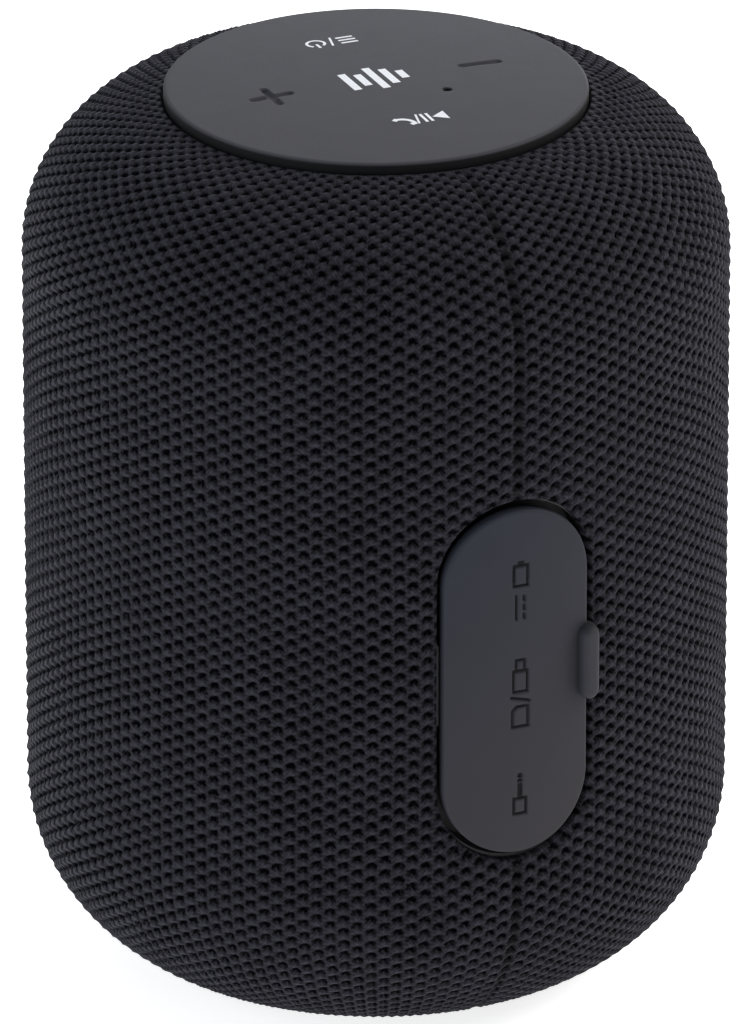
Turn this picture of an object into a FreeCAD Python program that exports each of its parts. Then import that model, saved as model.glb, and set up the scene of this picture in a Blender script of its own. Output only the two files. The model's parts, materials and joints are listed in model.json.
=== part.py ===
"""A portable bluetooth speaker: a fabric-wrapped cylinder with a silicone keypad on top and a hinged port cover.

Frame: +Z up, origin at the centre of the foot, -Y towards the ports, +Y towards the side that the driver faces.
Every driving dimension is a cell of the sheet "sizes", in millimetres; each sub-part reads its sizes from there,
and a cell that starts with an equals sign follows from others.
"""
import FreeCAD, Part

import math
import os
import re

import Sketcher

V = FreeCAD.Vector

# --- the driving dimensions -------------------------------------------------------------------------------------

SIZES = {
    # outer form
    "body_diameter": 82, "body_height": 108.5, "fabric_thickness": 1.4, "shell_wall": 2.4,
    "shoulder_radius": 18.5, "base_curve_radius": 22.4, "base_opening_radius": 25, "split_height": 80,
    "fit_gap": 0.2, "lip_wall": 1.1, "lip_height": 1.5,
    # keypad and its four keys
    "keypad_radius": 24.6, "keypad_crown": 0.8, "keypad_proud": 1.3, "keypad_edge_round": 0.5, "keypad_gap": 0.15,
    "key_ring_radius": 13.1, "key_radius": 5.6, "key_gap": 0.25, "key_lift": 0.6, "key_travel": 0.3,
    "plunger_radius": 1.6, "plunger_gap": 0.5, "symbol_length": 5.4, "symbol_width": 0.85, "symbol_depth": 0.45,
    "pinhole_radius": 0.5, "pinhole_ring_radius": 8.8,
    # key board, switches and microphone
    "key_board_radius": 19.4, "key_board_thickness": 1.2, "key_post_radius": 2.4, "key_post_length": 5.6,
    "key_post_ring_radius": 16.4, "switch_side": 6, "switch_height": 3.5, "switch_button_radius": 1.75,
    "switch_button_rise": 0.8, "switch_well_depth": 1.2, "switch_well_gap": 0.15,
    "microphone_radius": 3, "microphone_height": 2.6, "boot_wall": 0.8,
    # port cover
    "port_centre_height": 49, "cover_width": 18, "cover_length": 42.8, "cover_thickness": 1.8,
    "cover_proud": 0.2, "cover_gap": 0.7, "rib_depth": 2, "rib_wall": 1.2, "rib_inset": 0.6,
    "tab_length": 9.2, "tab_width": 2.8, "tab_rise": 1.2, "tab_centre_height": 49.9, "tab_lift": 0.35,
    "tether_length": 10, "tether_thickness": 0.6, "anchor_depth": 1.2,
    # port tray, main board and sockets
    "tray_rim": 1.5, "tray_depth": 4.8, "tray_floor": 1.6, "tray_arm_width": 4, "tray_arm_reach": 14,
    "port_pitch": 13.2, "port_gap": 0.15,
    "board_offset": 1.25, "board_thickness": 1.6, "board_length": 50, "board_depth": 21,
    "stick_socket_long": 13.1, "stick_socket_short": 5.7, "stick_socket_depth": 14, "socket_metal": 0.4,
    "power_socket_long": 7.5, "power_socket_short": 2.6, "power_socket_depth": 5.5, "tongue_thickness": 0.6,
    "stick_tongue_thickness": 1.8, "card_socket_long": 14, "card_socket_short": 1.9, "card_socket_depth": 14.5,
    "card_slot_long": 11.2, "card_slot_short": 0.9, "jack_bore_radius": 1.8, "jack_side": 6, "jack_depth": 13,
    "jack_bore_depth": 12,
    "chip_side": 7, "chip_height": 1, "chip_setback": 4.5, "amplifier_side": 5,
    "capacitor_radius": 2, "capacitor_length": 4.5, "connector_height": 3, "connector_depth": 4, "connector_length": 6,
    # base
    "foot_radius": 22, "foot_thickness": 1.4, "foot_proud": 0.6, "base_flange_height": 2, "base_gap": 0.4,
    "floor_height": 3.4, "floor_thickness": 2.4, "base_screw_ring_radius": 17,
    # driver
    "driver_centre_height": 50, "driver_radius": 26, "baffle_position": 26.4, "baffle_thickness": 2.4,
    "flange_width": 2.8, "baffle_opening_radius": "=driver_radius - flange_width",
    "gasket_thickness": 1, "flange_thickness": 1, "ear_reach": 3,
    "ear_spacing": "=(driver_radius + ear_reach) * sqrt(2)", "ear_radius": 3.8,
    "basket_depth": 15.4, "basket_wall": 0.9, "spider_depth": 11.8, "spider_ledge": 1.6,
    "spider_outer_radius": 16.8, "spider_thickness": 0.4, "spider_wave": 0.6, "spider_gap": 0.1,
    "window_width": 15, "window_start": 3.6, "window_end": 10.8,
    "roll_width": 4.4, "roll_outer_radius": "=baffle_opening_radius - fit_gap",
    "roll_inner_radius": "=roll_outer_radius - roll_width", "roll_thickness": 0.5, "roll_slack": 0.1, "land_width": 1.2,
    "cone_depth": 8.2, "cone_thickness": 0.5, "cap_rise": 3, "coil_radius": 10, "former_wall": 0.4,
    "former_length": 13, "winding_thickness": 0.6, "winding_length": 6, "coil_gap": 0.6,
    "plate_radius": 20, "magnet_radius": 21, "magnet_bore_radius": 12.5, "top_plate_thickness": 3,
    "magnet_thickness": 6, "yoke_thickness": 3,
    # battery
    "cell_radius": 9.1, "cell_length": 65, "cell_position_x": 20, "cell_position_y": 17.4, "cell_bottom": 16.5,
    "trough_wall": 1, "trough_length": 38,
    # fasteners
    "boss_radius": 3.4, "boss_depth": 11, "boss_web": 2.2, "boss_seat": 4, "screw_radius": 1.3,
    "screw_head_radius": 2.3, "screw_head_height": 1.5, "screw_length": 12,
    "small_radius": 0.9, "small_head_radius": 1.7, "small_head_height": 1, "small_length": 3,
    # sound slots behind the fabric
    "slot_width": 2.4, "slot_pitch": 4.6,
}

doc = FreeCAD.newDocument("portable_speaker")
sheet = doc.addObject("Spreadsheet::Sheet", "sizes")
for row, (alias, size) in enumerate(SIZES.items(), start=1):
    sheet.set(f"A{row}", alias)
    sheet.set(f"B{row}", str(size))
    sheet.setAlias(f"B{row}", alias)
doc.recompute()

subparts = []


def bound(expression):
    """The expression with each alias written as a reference to the sheet."""
    return re.sub(r"[A-Za-z_]\w*", lambda m: "sizes." + m[0] if m[0] in SIZES else m[0], str(expression))


def value(expression):
    """What an expression of sheet aliases comes to, in millimetres."""
    return float(sheet.evalExpression(bound(expression)))


def keep(thing, label):
    """Names a finished sub-part; its label names its file."""
    thing.Label = label
    subparts.append(thing)
    return thing


# --- shapes bound to the sheet ----------------------------------------------------------------------------------

UP = FreeCAD.Rotation()
ALONG_Y = FreeCAD.Rotation(V(1, 0, 0), -90)
ALONG_X = FreeCAD.Rotation(V(0, 1, 0), 90)


def place(thing, x, y, z, turn=UP):
    thing.Placement = FreeCAD.Placement(V(value(x), value(y), value(z)), turn)
    for axis, expression in zip("xyz", (x, y, z)):
        thing.setExpression(f"Placement.Base.{axis}", bound(expression))
    return thing


def block(x_range, y_range, z_range):
    """A box from its low and high side along each axis."""
    thing = doc.addObject("Part::Box", "block")
    for name, (low, high) in zip(("Length", "Width", "Height"), (x_range, y_range, z_range)):
        thing.setExpression(name, bound(f"({high}) - ({low})"))
    return place(thing, x_range[0], y_range[0], z_range[0])


def rod(radius, length, x="0", y="0", z="0", turn=UP):
    """A cylinder that starts at a point and runs up, or along Y or X."""
    thing = doc.addObject("Part::Cylinder", "rod")
    thing.setExpression("Radius", bound(radius))
    thing.setExpression("Height", bound(length))
    return place(thing, x, y, z, turn)


def fuse(*things):
    joined = doc.addObject("Part::MultiFuse", "fuse")
    joined.Shapes = list(things)
    joined.Refine = True
    return joined


def common(*things):
    shared = doc.addObject("Part::MultiCommon", "common")
    shared.Shapes = list(things)
    shared.Refine = True
    return shared


def cut(base, *tools):
    left = doc.addObject("Part::Cut", "cut")
    left.Base = base
    left.Tool = tools[0] if len(tools) == 1 else fuse(*tools)
    left.Refine = True
    return left


def revolved(name, corners, x="0", y="0", z="0", turn=UP):
    """A body turned about its own Z from a closed profile.

    corners are (radius, height) or (radius, height, arc_radius, side); the last two say that the edge to the next
    corner is an arc of that radius, bulging to the left (side 1) or right (side -1) of the way it is drawn.
    """
    body = doc.addObject("PartDesign::Body", name)
    sketch = body.newObject("Sketcher::SketchObject", name + "_profile")
    plane = next(f for f in body.Origin.OriginFeatures if f.Role == "XZ_Plane")
    sketch.AttachmentSupport = (plane, [""])
    sketch.MapMode = "FlatFace"
    points = [V(value(c[0]), value(c[1]), 0) for c in corners]
    ends = []
    for i, corner in enumerate(corners):
        start, end = points[i], points[(i + 1) % len(points)]
        if len(corner) == 2:
            sketch.addGeometry(Part.LineSegment(start, end), False)
            ends.append((1, 2))
            continue
        radius, side = value(corner[2]), corner[3]
        chord = end - start
        bulge = radius - math.sqrt(max(0.0, radius * radius - chord.Length * chord.Length / 4))
        middle = (start + end) / 2 + V(-chord.y, chord.x, 0).normalize() * bulge * side
        # a sketch holds every arc anticlockwise, so one that bulges to the left is stored from its end
        sketch.addGeometry(Part.Arc(end, middle, start) if side > 0 else Part.Arc(start, middle, end), False)
        ends.append((2, 1) if side > 0 else (1, 2))
    for i, corner in enumerate(corners):
        after = (i + 1) % len(corners)
        sketch.addConstraint(Sketcher.Constraint("Coincident", i, ends[i][1], after, ends[after][0]))
        for kind, axis, expression in (("DistanceX", -2, corner[0]), ("DistanceY", -1, corner[1])):
            if abs(value(expression)) < 1e-9:
                sketch.addConstraint(Sketcher.Constraint("PointOnObject", i, ends[i][0], axis))
                continue
            index = sketch.addConstraint(Sketcher.Constraint(kind, -1, 1, i, ends[i][0], value(expression)))
            sketch.setExpression(f"Constraints[{index}]", bound(expression))
        if len(corner) == 4:
            index = sketch.addConstraint(Sketcher.Constraint("Radius", i, value(corner[2])))
            sketch.setExpression(f"Constraints[{index}]", bound(corner[2]))
    turned = body.newObject("PartDesign::Revolution", name + "_turn")
    turned.Profile = sketch
    turned.ReferenceAxis = (sketch, ["V_Axis"])
    turned.Angle = 360
    body.Tip = turned
    return place(body, x, y, z, turn)


def stadium(half_width, half_length, y_low, y_high, z_centre="port_centre_height"):
    """A slot-ended prism along Y, upright, centred on the ports."""
    straight = f"({half_length}) - ({half_width})"
    depth = f"({y_high}) - ({y_low})"
    middle = block((f"-({half_width})", half_width), (y_low, y_high),
                   (f"{z_centre} - ({straight})", f"{z_centre} + ({straight})"))
    return fuse(middle, rod(half_width, depth, "0", y_low, f"{z_centre} + ({straight})", ALONG_Y),
                rod(half_width, depth, "0", y_low, f"{z_centre} - ({straight})", ALONG_Y))


def polar(ring_radius, degrees):
    """The x and y of a point on a ring about the Z axis."""
    return f"({ring_radius}) * cos({degrees} deg)", f"({ring_radius}) * sin({degrees} deg)"


def screws(label, places, direction, shank, head, head_height, length):
    """One node of identical pan-head screws with a cross recess; each place is the middle of a head's seat."""
    shank, head, head_height, length = (value(s) for s in (shank, head, head_height, length))
    slot = head * 0.3
    one = Part.makeCylinder(head, head_height).fuse(Part.makeCylinder(shank, length, V(0, 0, -length)))
    for wide, deep in ((head, slot), (slot, head)):
        one = one.cut(Part.makeBox(wide, deep, head_height / 2, V(-wide / 2, -deep / 2, head_height / 2)))
    turn = FreeCAD.Rotation(V(0, 0, -1), V(*direction))
    shapes = []
    for x, y, z in places:
        shape = one.copy()
        shape.Placement = FreeCAD.Placement(V(x, y, z), turn)
        shapes.append(shape)
    thing = doc.addObject("Part::Feature", label)
    thing.Shape = Part.makeCompound(shapes)
    return keep(thing, label)


# --- levels and radii that several sub-parts share --------------------------------------------------------------

BODY = "body_diameter / 2"
SHELL = f"({BODY} - fabric_thickness)"
INSIDE = f"({SHELL} - shell_wall)"
KEYPAD_RIM = "(body_height - keypad_crown)"
HEM_RADIUS = "(keypad_radius + keypad_gap)"
HEM_TOP = f"({KEYPAD_RIM} - keypad_proud)"
SHOULDER_AXIS = f"({BODY} - shoulder_radius)"
# the sleeve's cut edge clears the keypad at its face and at its back, whichever way the shoulder leans there
HEM_REACH = f"({HEM_RADIUS} - {SHOULDER_AXIS})"
SHOULDER_COS = f"max({HEM_REACH} / shoulder_radius; {HEM_REACH} / (shoulder_radius - fabric_thickness))"
SHOULDER_SIN = f"sqrt(1 - {SHOULDER_COS} * {SHOULDER_COS})"
SIDE_TOP = f"({HEM_TOP} - shoulder_radius * {SHOULDER_SIN})"
BASE_AXIS = f"({BODY} - base_curve_radius)"
BASE_COS = f"((base_opening_radius - {BASE_AXIS}) / base_curve_radius)"
BASE_SIN = f"sqrt(1 - {BASE_COS} * {BASE_COS})"


def shoulder_end(offset):
    """Where a layer that lies this far inside the fabric's face ends at the keypad."""
    return (f"{SHOULDER_AXIS} + (shoulder_radius - ({offset})) * {SHOULDER_COS}",
            f"{SIDE_TOP} + (shoulder_radius - ({offset})) * {SHOULDER_SIN}")


def base_end(offset):
    """Where that layer ends at the base."""
    return (f"{BASE_AXIS} + (base_curve_radius - ({offset})) * {BASE_COS}",
            f"base_curve_radius - (base_curve_radius - ({offset})) * {BASE_SIN}")


OUTER = "fabric_thickness"
INNER = "(fabric_thickness + shell_wall)"
DECK_TOP = f"({shoulder_end(OUTER)[1]})"
DECK_BOTTOM = f"({shoulder_end(INNER)[1]})"
FLOOR_TOP = "(floor_height + floor_thickness)"
FLOOR_EDGE = (f"({BASE_AXIS} + sqrt((base_curve_radius - {INNER}) * (base_curve_radius - {INNER})"
              f" - (base_curve_radius - {FLOOR_TOP}) * (base_curve_radius - {FLOOR_TOP})))")
MOUTH_RADIUS = "(base_opening_radius - fabric_thickness)"
BOSS_RING = f"({INSIDE} - boss_radius)"
BOSS_ANGLES = (15, 165, 195, 345)
CORNERS = (45, 135, 225, 315)

COVER_HALF_WIDTH = "(cover_width / 2)"
COVER_HALF_LENGTH = "(cover_length / 2)"
OPENING_HALF_WIDTH = f"({COVER_HALF_WIDTH} + cover_gap)"
OPENING_HALF_LENGTH = f"({COVER_HALF_LENGTH} + cover_gap)"
TRAY_FRONT = f"(-({SHELL} - tray_depth))"
TRAY_BACK = f"({TRAY_FRONT} + tray_floor)"

BAFFLE_BACK = "(baffle_position - baffle_thickness)"
TOWARDS_PORTS = FreeCAD.Rotation(V(1, 0, 0), 90)


# --- casing -----------------------------------------------------------------------------------------------------

def casing_opening(half_width, half_length):
    """The slot-ended tool that opens the port side of the casing, from half way in to just past the fabric."""
    return stadium(half_width, half_length, f"-({BODY} + fit_gap)", f"-({BODY} / 2)")


# The knitted sleeve: one tube, drawn in over the shoulder and under the base, and cut out round the port cover.
sleeve_tube = revolved("sleeve_tube", [
    (*base_end("0"), "base_curve_radius", -1), (BODY, "base_curve_radius"),
    (BODY, SIDE_TOP, "shoulder_radius", -1), shoulder_end("0"),
    (*shoulder_end(OUTER), f"shoulder_radius - {OUTER}", 1), (SHELL, SIDE_TOP),
    (SHELL, "base_curve_radius", f"base_curve_radius - {OUTER}", 1), base_end(OUTER),
])
keep(cut(sleeve_tube, casing_opening(OPENING_HALF_WIDTH, OPENING_HALF_LENGTH)), "fabric_sleeve")

# The moulded tub: wall and floor in one, a tongue at its top edge, four screw bosses, sound slots before the driver.
tub_form = revolved("tub_form", [
    ("0", "floor_height"), (MOUTH_RADIUS, "floor_height"),
    (*base_end(OUTER), f"base_curve_radius - {OUTER}", -1), (SHELL, "base_curve_radius"),
    (SHELL, "split_height"), (f"{INSIDE} + lip_wall", "split_height"),
    (f"{INSIDE} + lip_wall", "split_height + lip_height"), (INSIDE, "split_height + lip_height"),
    (INSIDE, "base_curve_radius", f"base_curve_radius - {INNER}", 1), (FLOOR_EDGE, FLOOR_TOP),
    ("0", FLOOR_TOP),
])
tub_bosses = []
tub_pilots = []
for angle in BOSS_ANGLES:
    x, y = polar(BOSS_RING, angle)
    web_x, web_y = polar(f"{BOSS_RING} + boss_web", angle)
    tub_bosses.append(rod("boss_radius", "boss_depth", x, y, "split_height - boss_depth"))
    tub_bosses.append(rod("boss_radius", "boss_depth", web_x, web_y, "split_height - boss_depth"))
    tub_pilots.append(rod("screw_radius", "boss_depth", x, y, "split_height - boss_depth + shell_wall"))
for angle in CORNERS:
    x, y = polar("base_screw_ring_radius", angle)
    tub_pilots.append(rod("small_radius", "floor_thickness", x, y, "floor_height"))
slots = []
for step in range(-4, 5):
    across = f"{step} * slot_pitch"
    half_length = f"sqrt(baffle_opening_radius * baffle_opening_radius - ({across}) * ({across}))"
    slots.append(block((f"{across} - slot_width / 2", f"{across} + slot_width / 2"),
                       ("baffle_position", BODY),
                       (f"driver_centre_height - {half_length}", f"driver_centre_height + {half_length}")))
TRAY_HALF_WIDTH = f"({OPENING_HALF_WIDTH} + tray_rim)"
TRAY_HALF_LENGTH = f"({OPENING_HALF_LENGTH} + tray_rim)"
tub_opening = casing_opening(TRAY_HALF_WIDTH, TRAY_HALF_LENGTH)
keep(cut(fuse(tub_form, *tub_bosses), tub_opening, *tub_pilots, *slots), "main_shell")

# The moulded top: shoulder and keypad deck in one, with screw columns that open under the sleeve.
top_form = revolved("top_form", [
    (SHELL, "split_height"), (SHELL, SIDE_TOP, f"shoulder_radius - {OUTER}", -1), shoulder_end(OUTER),
    ("0", DECK_TOP), ("0", DECK_BOTTOM), (*shoulder_end(INNER), f"shoulder_radius - {INNER}", 1),
    (INSIDE, SIDE_TOP), (INSIDE, "split_height + lip_height + fit_gap"),
    (f"{INSIDE} + lip_wall + fit_gap", "split_height + lip_height + fit_gap"),
    (f"{INSIDE} + lip_wall + fit_gap", "split_height"),
])
dome = revolved("dome", [
    ("0", "split_height"), (SHELL, "split_height"), (SHELL, SIDE_TOP, f"shoulder_radius - {OUTER}", -1),
    shoulder_end(OUTER), ("0", DECK_TOP),
])
columns = []
top_cuts = []
for angle in BOSS_ANGLES:
    x, y = polar(BOSS_RING, angle)
    columns.append(rod("boss_radius", "body_height - split_height", x, y, "split_height"))
    top_cuts.append(rod("screw_radius + fit_gap", "boss_seat", x, y, "split_height"))
    top_cuts.append(rod("screw_head_radius + fit_gap", "body_height - split_height", x, y,
                        "split_height + boss_seat"))
posts = []
for angle in CORNERS:
    x, y = polar("key_post_ring_radius", angle)
    posts.append(rod("key_post_radius", "key_post_length", x, y, f"{DECK_BOTTOM} - key_post_length"))
    top_cuts.append(rod("small_radius", "key_post_length", x, y, f"{DECK_BOTTOM} - key_post_length"))
KEYS = {"volume_up_key": 180, "volume_down_key": 0, "play_call_key": 270, "power_mode_key": 90}
for angle in KEYS.values():
    x, y = polar("key_ring_radius", angle)
    top_cuts.append(rod("plunger_radius + plunger_gap", "keypad_radius", x, y, f"{DECK_BOTTOM} - fit_gap"))
pinhole_x, pinhole_y = polar("pinhole_ring_radius", -45)
top_cuts.append(rod("pinhole_radius * 2", "keypad_radius", pinhole_x, pinhole_y, f"{DECK_BOTTOM} - fit_gap"))
keep(cut(fuse(top_form, common(dome, fuse(*columns)), *posts), *top_cuts), "top_shell")

cap_places = []
for angle in BOSS_ANGLES:
    cap_places.append([value(e) for e in (*polar(BOSS_RING, angle), "split_height + boss_seat")])
screws("top_shell_screws", cap_places, (0, 0, -1), "screw_radius", "screw_head_radius", "screw_head_height",
       "screw_length")

# The base plate closes the screw floor; the rubber foot is a disc let into it.
base_form = revolved("base_form", [
    ("0", "foot_proud"), ("base_opening_radius - base_gap * 2", "foot_proud"),
    ("base_opening_radius - base_gap * 2", "base_flange_height"),
    (f"{MOUTH_RADIUS} - base_gap", "base_flange_height"), (f"{MOUTH_RADIUS} - base_gap", "floor_height"),
    ("0", "floor_height"),
])
base_cuts = [rod("foot_radius", "foot_thickness - foot_proud", z="foot_proud")]
HEAD_SEAT = "(foot_thickness + small_head_height + fit_gap)"
base_places = []
for angle in CORNERS:
    x, y = polar("base_screw_ring_radius", angle)
    base_cuts.append(rod("small_radius + fit_gap", "floor_height", x, y, "foot_proud"))
    base_cuts.append(rod("small_head_radius + fit_gap", f"{HEAD_SEAT} - foot_proud", x, y, "foot_proud"))
    base_places.append([value(e) for e in (x, y, HEAD_SEAT)])
keep(cut(base_form, *base_cuts), "base_plate")
keep(rod("foot_radius - fit_gap", "foot_thickness"), "rubber_foot")
screws("base_screws", base_places, (0, 0, 1), "small_radius", "small_head_radius", "small_head_height",
       "small_length")


# --- keypad -----------------------------------------------------------------------------------------------------

def dome_radius(half_width, rise):
    """The radius of a shallow dome from its half width and its rise."""
    return f"((({half_width}) * ({half_width}) + ({rise}) * ({rise})) / (2 * ({rise})))"


BOARD_TOP = f"({DECK_BOTTOM} - key_post_length)"
BOARD_BOTTOM = f"({BOARD_TOP} - key_board_thickness)"
SWITCH_TOP = f"({BOARD_TOP} + switch_height)"
BUTTON_TOP = f"({SWITCH_TOP} + switch_button_rise)"
BUTTON_BOTTOM = f"({SWITCH_TOP} - switch_well_depth + key_travel + fit_gap)"
KEY_BOTTOM = f"({DECK_TOP} + key_lift)"
SYMBOL_FLOOR = f"({KEYPAD_RIM} + keypad_crown / 2 - symbol_depth)"

# The silicone pad: a shallow dome glued to the deck, with a round hole for each key.
pad_edge = "keypad_radius - keypad_edge_round"
pad_form = revolved("pad_form", [
    ("0", DECK_TOP), ("keypad_radius", DECK_TOP),
    ("keypad_radius", f"{KEYPAD_RIM} - keypad_edge_round", "keypad_edge_round", -1),
    (pad_edge, KEYPAD_RIM, dome_radius(pad_edge, "keypad_crown"), -1), ("0", "body_height"),
])
pad_holes = [rod("pinhole_radius", "keypad_radius", pinhole_x, pinhole_y, DECK_TOP)]
for angle in KEYS.values():
    x, y = polar("key_ring_radius", angle)
    pad_holes.append(rod("key_radius + key_gap", "keypad_radius", x, y, DECK_TOP))
keep(cut(pad_form, *pad_holes), "keypad_skin")


def plus_and_minus(x, y, with_upright):
    """The sunk bars of a volume symbol."""
    across = block((f"{x} - symbol_length / 2", f"{x} + symbol_length / 2"),
                   (f"{y} - symbol_width / 2", f"{y} + symbol_width / 2"), (SYMBOL_FLOOR, "body_height"))
    if not with_upright:
        return [across]
    return [across, block((f"{x} - symbol_width / 2", f"{x} + symbol_width / 2"),
                          (f"{y} - symbol_length / 2", f"{y} + symbol_length / 2"),
                          (SYMBOL_FLOOR, "body_height"))]


# Each key is an island of the pad with a plunger that reaches through the deck to its switch.
switch_bodies = []
for name, angle in KEYS.items():
    x, y = polar("key_ring_radius", angle)
    island = common(pad_form, rod("key_radius", "keypad_radius", x, y, KEY_BOTTOM))
    key = fuse(island, rod("plunger_radius", f"{KEY_BOTTOM} - {BUTTON_TOP}", x, y, BUTTON_TOP))
    if name.startswith("volume"):
        key = cut(key, *plus_and_minus(x, y, name == "volume_up_key"))
    keep(key, name)
    keep(rod("switch_button_radius", f"{BUTTON_TOP} - {BUTTON_BOTTOM}", x, y, BUTTON_BOTTOM),
         name.replace("key", "switch_button"))
    half = "switch_side / 2"
    housing = block((f"{x} - {half}", f"{x} + {half}"), (f"{y} - {half}", f"{y} + {half}"),
                    (BOARD_TOP, SWITCH_TOP))
    well = rod("switch_button_radius + switch_well_gap", "switch_well_depth", x, y,
               f"{SWITCH_TOP} - switch_well_depth")
    switch_bodies.append(cut(housing, well))
group = doc.addObject("Part::Compound", "switch_group")
group.Links = switch_bodies
keep(group, "switch_bodies")

board_holes = []
board_places = []
for angle in CORNERS:
    x, y = polar("key_post_ring_radius", angle)
    board_holes.append(rod("small_radius + fit_gap", "key_board_thickness", x, y, BOARD_BOTTOM))
    board_places.append([value(e) for e in (x, y, BOARD_BOTTOM)])
keep(cut(rod("key_board_radius", "key_board_thickness", z=BOARD_BOTTOM), *board_holes), "key_board")
screws("key_board_screws", board_places, (0, 0, 1), "small_radius", "small_head_radius", "small_head_height",
       "small_length")
keep(rod("microphone_radius", "microphone_height", pinhole_x, pinhole_y, BOARD_TOP), "microphone")
keep(cut(rod("microphone_radius + boot_wall", "key_post_length", pinhole_x, pinhole_y, BOARD_TOP),
         rod("microphone_radius", "microphone_height", pinhole_x, pinhole_y, BOARD_TOP),
         rod("pinhole_radius", "key_post_length", pinhole_x, pinhole_y, BOARD_TOP)), "microphone_boot")


# --- ports ------------------------------------------------------------------------------------------------------

BOARD_FACE = "board_offset"
BOARD_REAR = "(board_offset + board_thickness)"


def port_box(x_range, z_centre, long_side, y_range, grow="0"):
    """A box centred on a port's height, grown by a clearance across the port."""
    half = f"({long_side}) / 2 + {grow}"
    return block((f"{x_range[0]} - {grow}", f"{x_range[1]} + {grow}"), y_range,
                 (f"{z_centre} - ({half})", f"{z_centre} + ({half})"))


POWER_HEIGHT = "(port_centre_height + port_pitch)"
JACK_HEIGHT = "(port_centre_height - port_pitch)"
JACK_AXIS = f"({BOARD_FACE} - jack_side / 2)"
STICK = ((f"{BOARD_FACE} - stick_socket_short", BOARD_FACE), "port_centre_height", "stick_socket_long")
POWER = ((f"{BOARD_FACE} - power_socket_short", BOARD_FACE), POWER_HEIGHT, "power_socket_long")
CARD = ((BOARD_REAR, f"{BOARD_REAR} + card_socket_short"), "port_centre_height", "card_socket_long")
JACK = ((f"{BOARD_FACE} - jack_side", BOARD_FACE), JACK_HEIGHT, "jack_side")

# The bezel behind the cover: a slot-ended collar through the wall of the casing.
bezel_form = common(stadium(TRAY_HALF_WIDTH, TRAY_HALF_LENGTH, f"-{BODY}", TRAY_FRONT), rod(SHELL, "body_height"))
keep(cut(bezel_form, stadium(OPENING_HALF_WIDTH, OPENING_HALF_LENGTH, f"-{BODY}", TRAY_FRONT)), "port_bezel")

# The port tray closes the collar's back: a plate with the port windows, and two arms that carry the main board.
tray_plate = stadium(TRAY_HALF_WIDTH, TRAY_HALF_LENGTH, TRAY_FRONT, TRAY_BACK)
tray_arms = []
arm_holes = []
board_bores = []
port_screw_places = []
SCREW_DEPTH = f"({TRAY_BACK} + tray_arm_reach - tray_arm_width)"
for side in ("+", "-"):
    middle = f"(port_centre_height {side} (board_length / 2 - tray_arm_width))"
    tray_arms.append(block((BOARD_REAR, f"{BOARD_REAR} + tray_arm_width"),
                           (TRAY_BACK, f"{TRAY_BACK} + tray_arm_reach"),
                           (f"{middle} - tray_arm_width * 3 / 4", f"{middle} + tray_arm_width * 3 / 4")))
    arm_holes.append(rod("small_radius", "small_length - board_thickness", BOARD_REAR, SCREW_DEPTH, middle,
                         ALONG_X))
    board_bores.append(rod("small_radius + fit_gap", "board_thickness", BOARD_FACE, SCREW_DEPTH, middle,
                           ALONG_X))
    port_screw_places.append([value(e) for e in (BOARD_FACE, SCREW_DEPTH, middle)])
tray_ports = []
for port in (STICK, POWER, CARD, JACK):
    tray_ports.append(port_box(*port, (TRAY_FRONT, TRAY_BACK), "port_gap"))
keep(cut(fuse(tray_plate, *tray_arms), *tray_ports, *arm_holes), "port_tray")

keep(cut(block((BOARD_FACE, BOARD_REAR), (f"{TRAY_BACK} + fit_gap", f"{TRAY_BACK} + board_depth"),
               ("port_centre_height - board_length / 2", "port_centre_height + board_length / 2")),
         *board_bores), "main_board")
screws("board_screws", port_screw_places, (1, 0, 0), "small_radius", "small_head_radius", "small_head_height",
       "small_length")


def socket_shell(port, depth, wall):
    """A folded sheet-metal socket: a box open at the mouth."""
    (low, high), centre, long_side = port
    hollow = port_box((f"{low} + {wall}", f"{high} - {wall}"), centre, f"{long_side} - 2 * {wall}",
                      (TRAY_FRONT, f"{TRAY_FRONT} + {depth} - {wall}"))
    return cut(port_box((low, high), centre, long_side, (TRAY_FRONT, f"{TRAY_FRONT} + {depth}")), hollow)


def socket_tongue(port, depth, wall, thickness, x_low):
    """The plastic tongue inside a socket, standing on its back wall."""
    centre, long_side = port[1], port[2]
    return port_box((x_low, f"{x_low} + {thickness}"), centre, f"{long_side} - 6 * {wall}",
                    (f"{TRAY_FRONT} + 2 * {wall}", f"{TRAY_FRONT} + {depth} - {wall}"))


keep(socket_shell(STICK, "stick_socket_depth", "socket_metal"), "stick_socket")
keep(socket_tongue(STICK, "stick_socket_depth", "socket_metal", "stick_tongue_thickness",
                   f"{BOARD_FACE} - socket_metal * 2 - stick_tongue_thickness"), "stick_socket_tongue")
keep(socket_shell(POWER, "power_socket_depth", "socket_metal"), "power_socket")
keep(socket_tongue(POWER, "power_socket_depth", "socket_metal", "tongue_thickness",
                   f"{BOARD_FACE} - power_socket_short / 2 - tongue_thickness / 2"), "power_socket_tongue")
card_middle = f"({BOARD_REAR} + card_socket_short / 2)"
card_slot = port_box((f"{card_middle} - card_slot_short / 2", f"{card_middle} + card_slot_short / 2"),
                     "port_centre_height", "card_slot_long",
                     (TRAY_FRONT, f"{TRAY_FRONT} + card_socket_depth - socket_metal"))
keep(cut(port_box(*CARD, (TRAY_FRONT, f"{TRAY_FRONT} + card_socket_depth")), card_slot), "card_socket")
keep(cut(port_box(*JACK, (TRAY_FRONT, f"{TRAY_FRONT} + jack_depth")),
         rod("jack_bore_radius", "jack_bore_depth", JACK_AXIS, TRAY_FRONT, JACK_HEIGHT, ALONG_Y)),
     "audio_socket")

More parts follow.
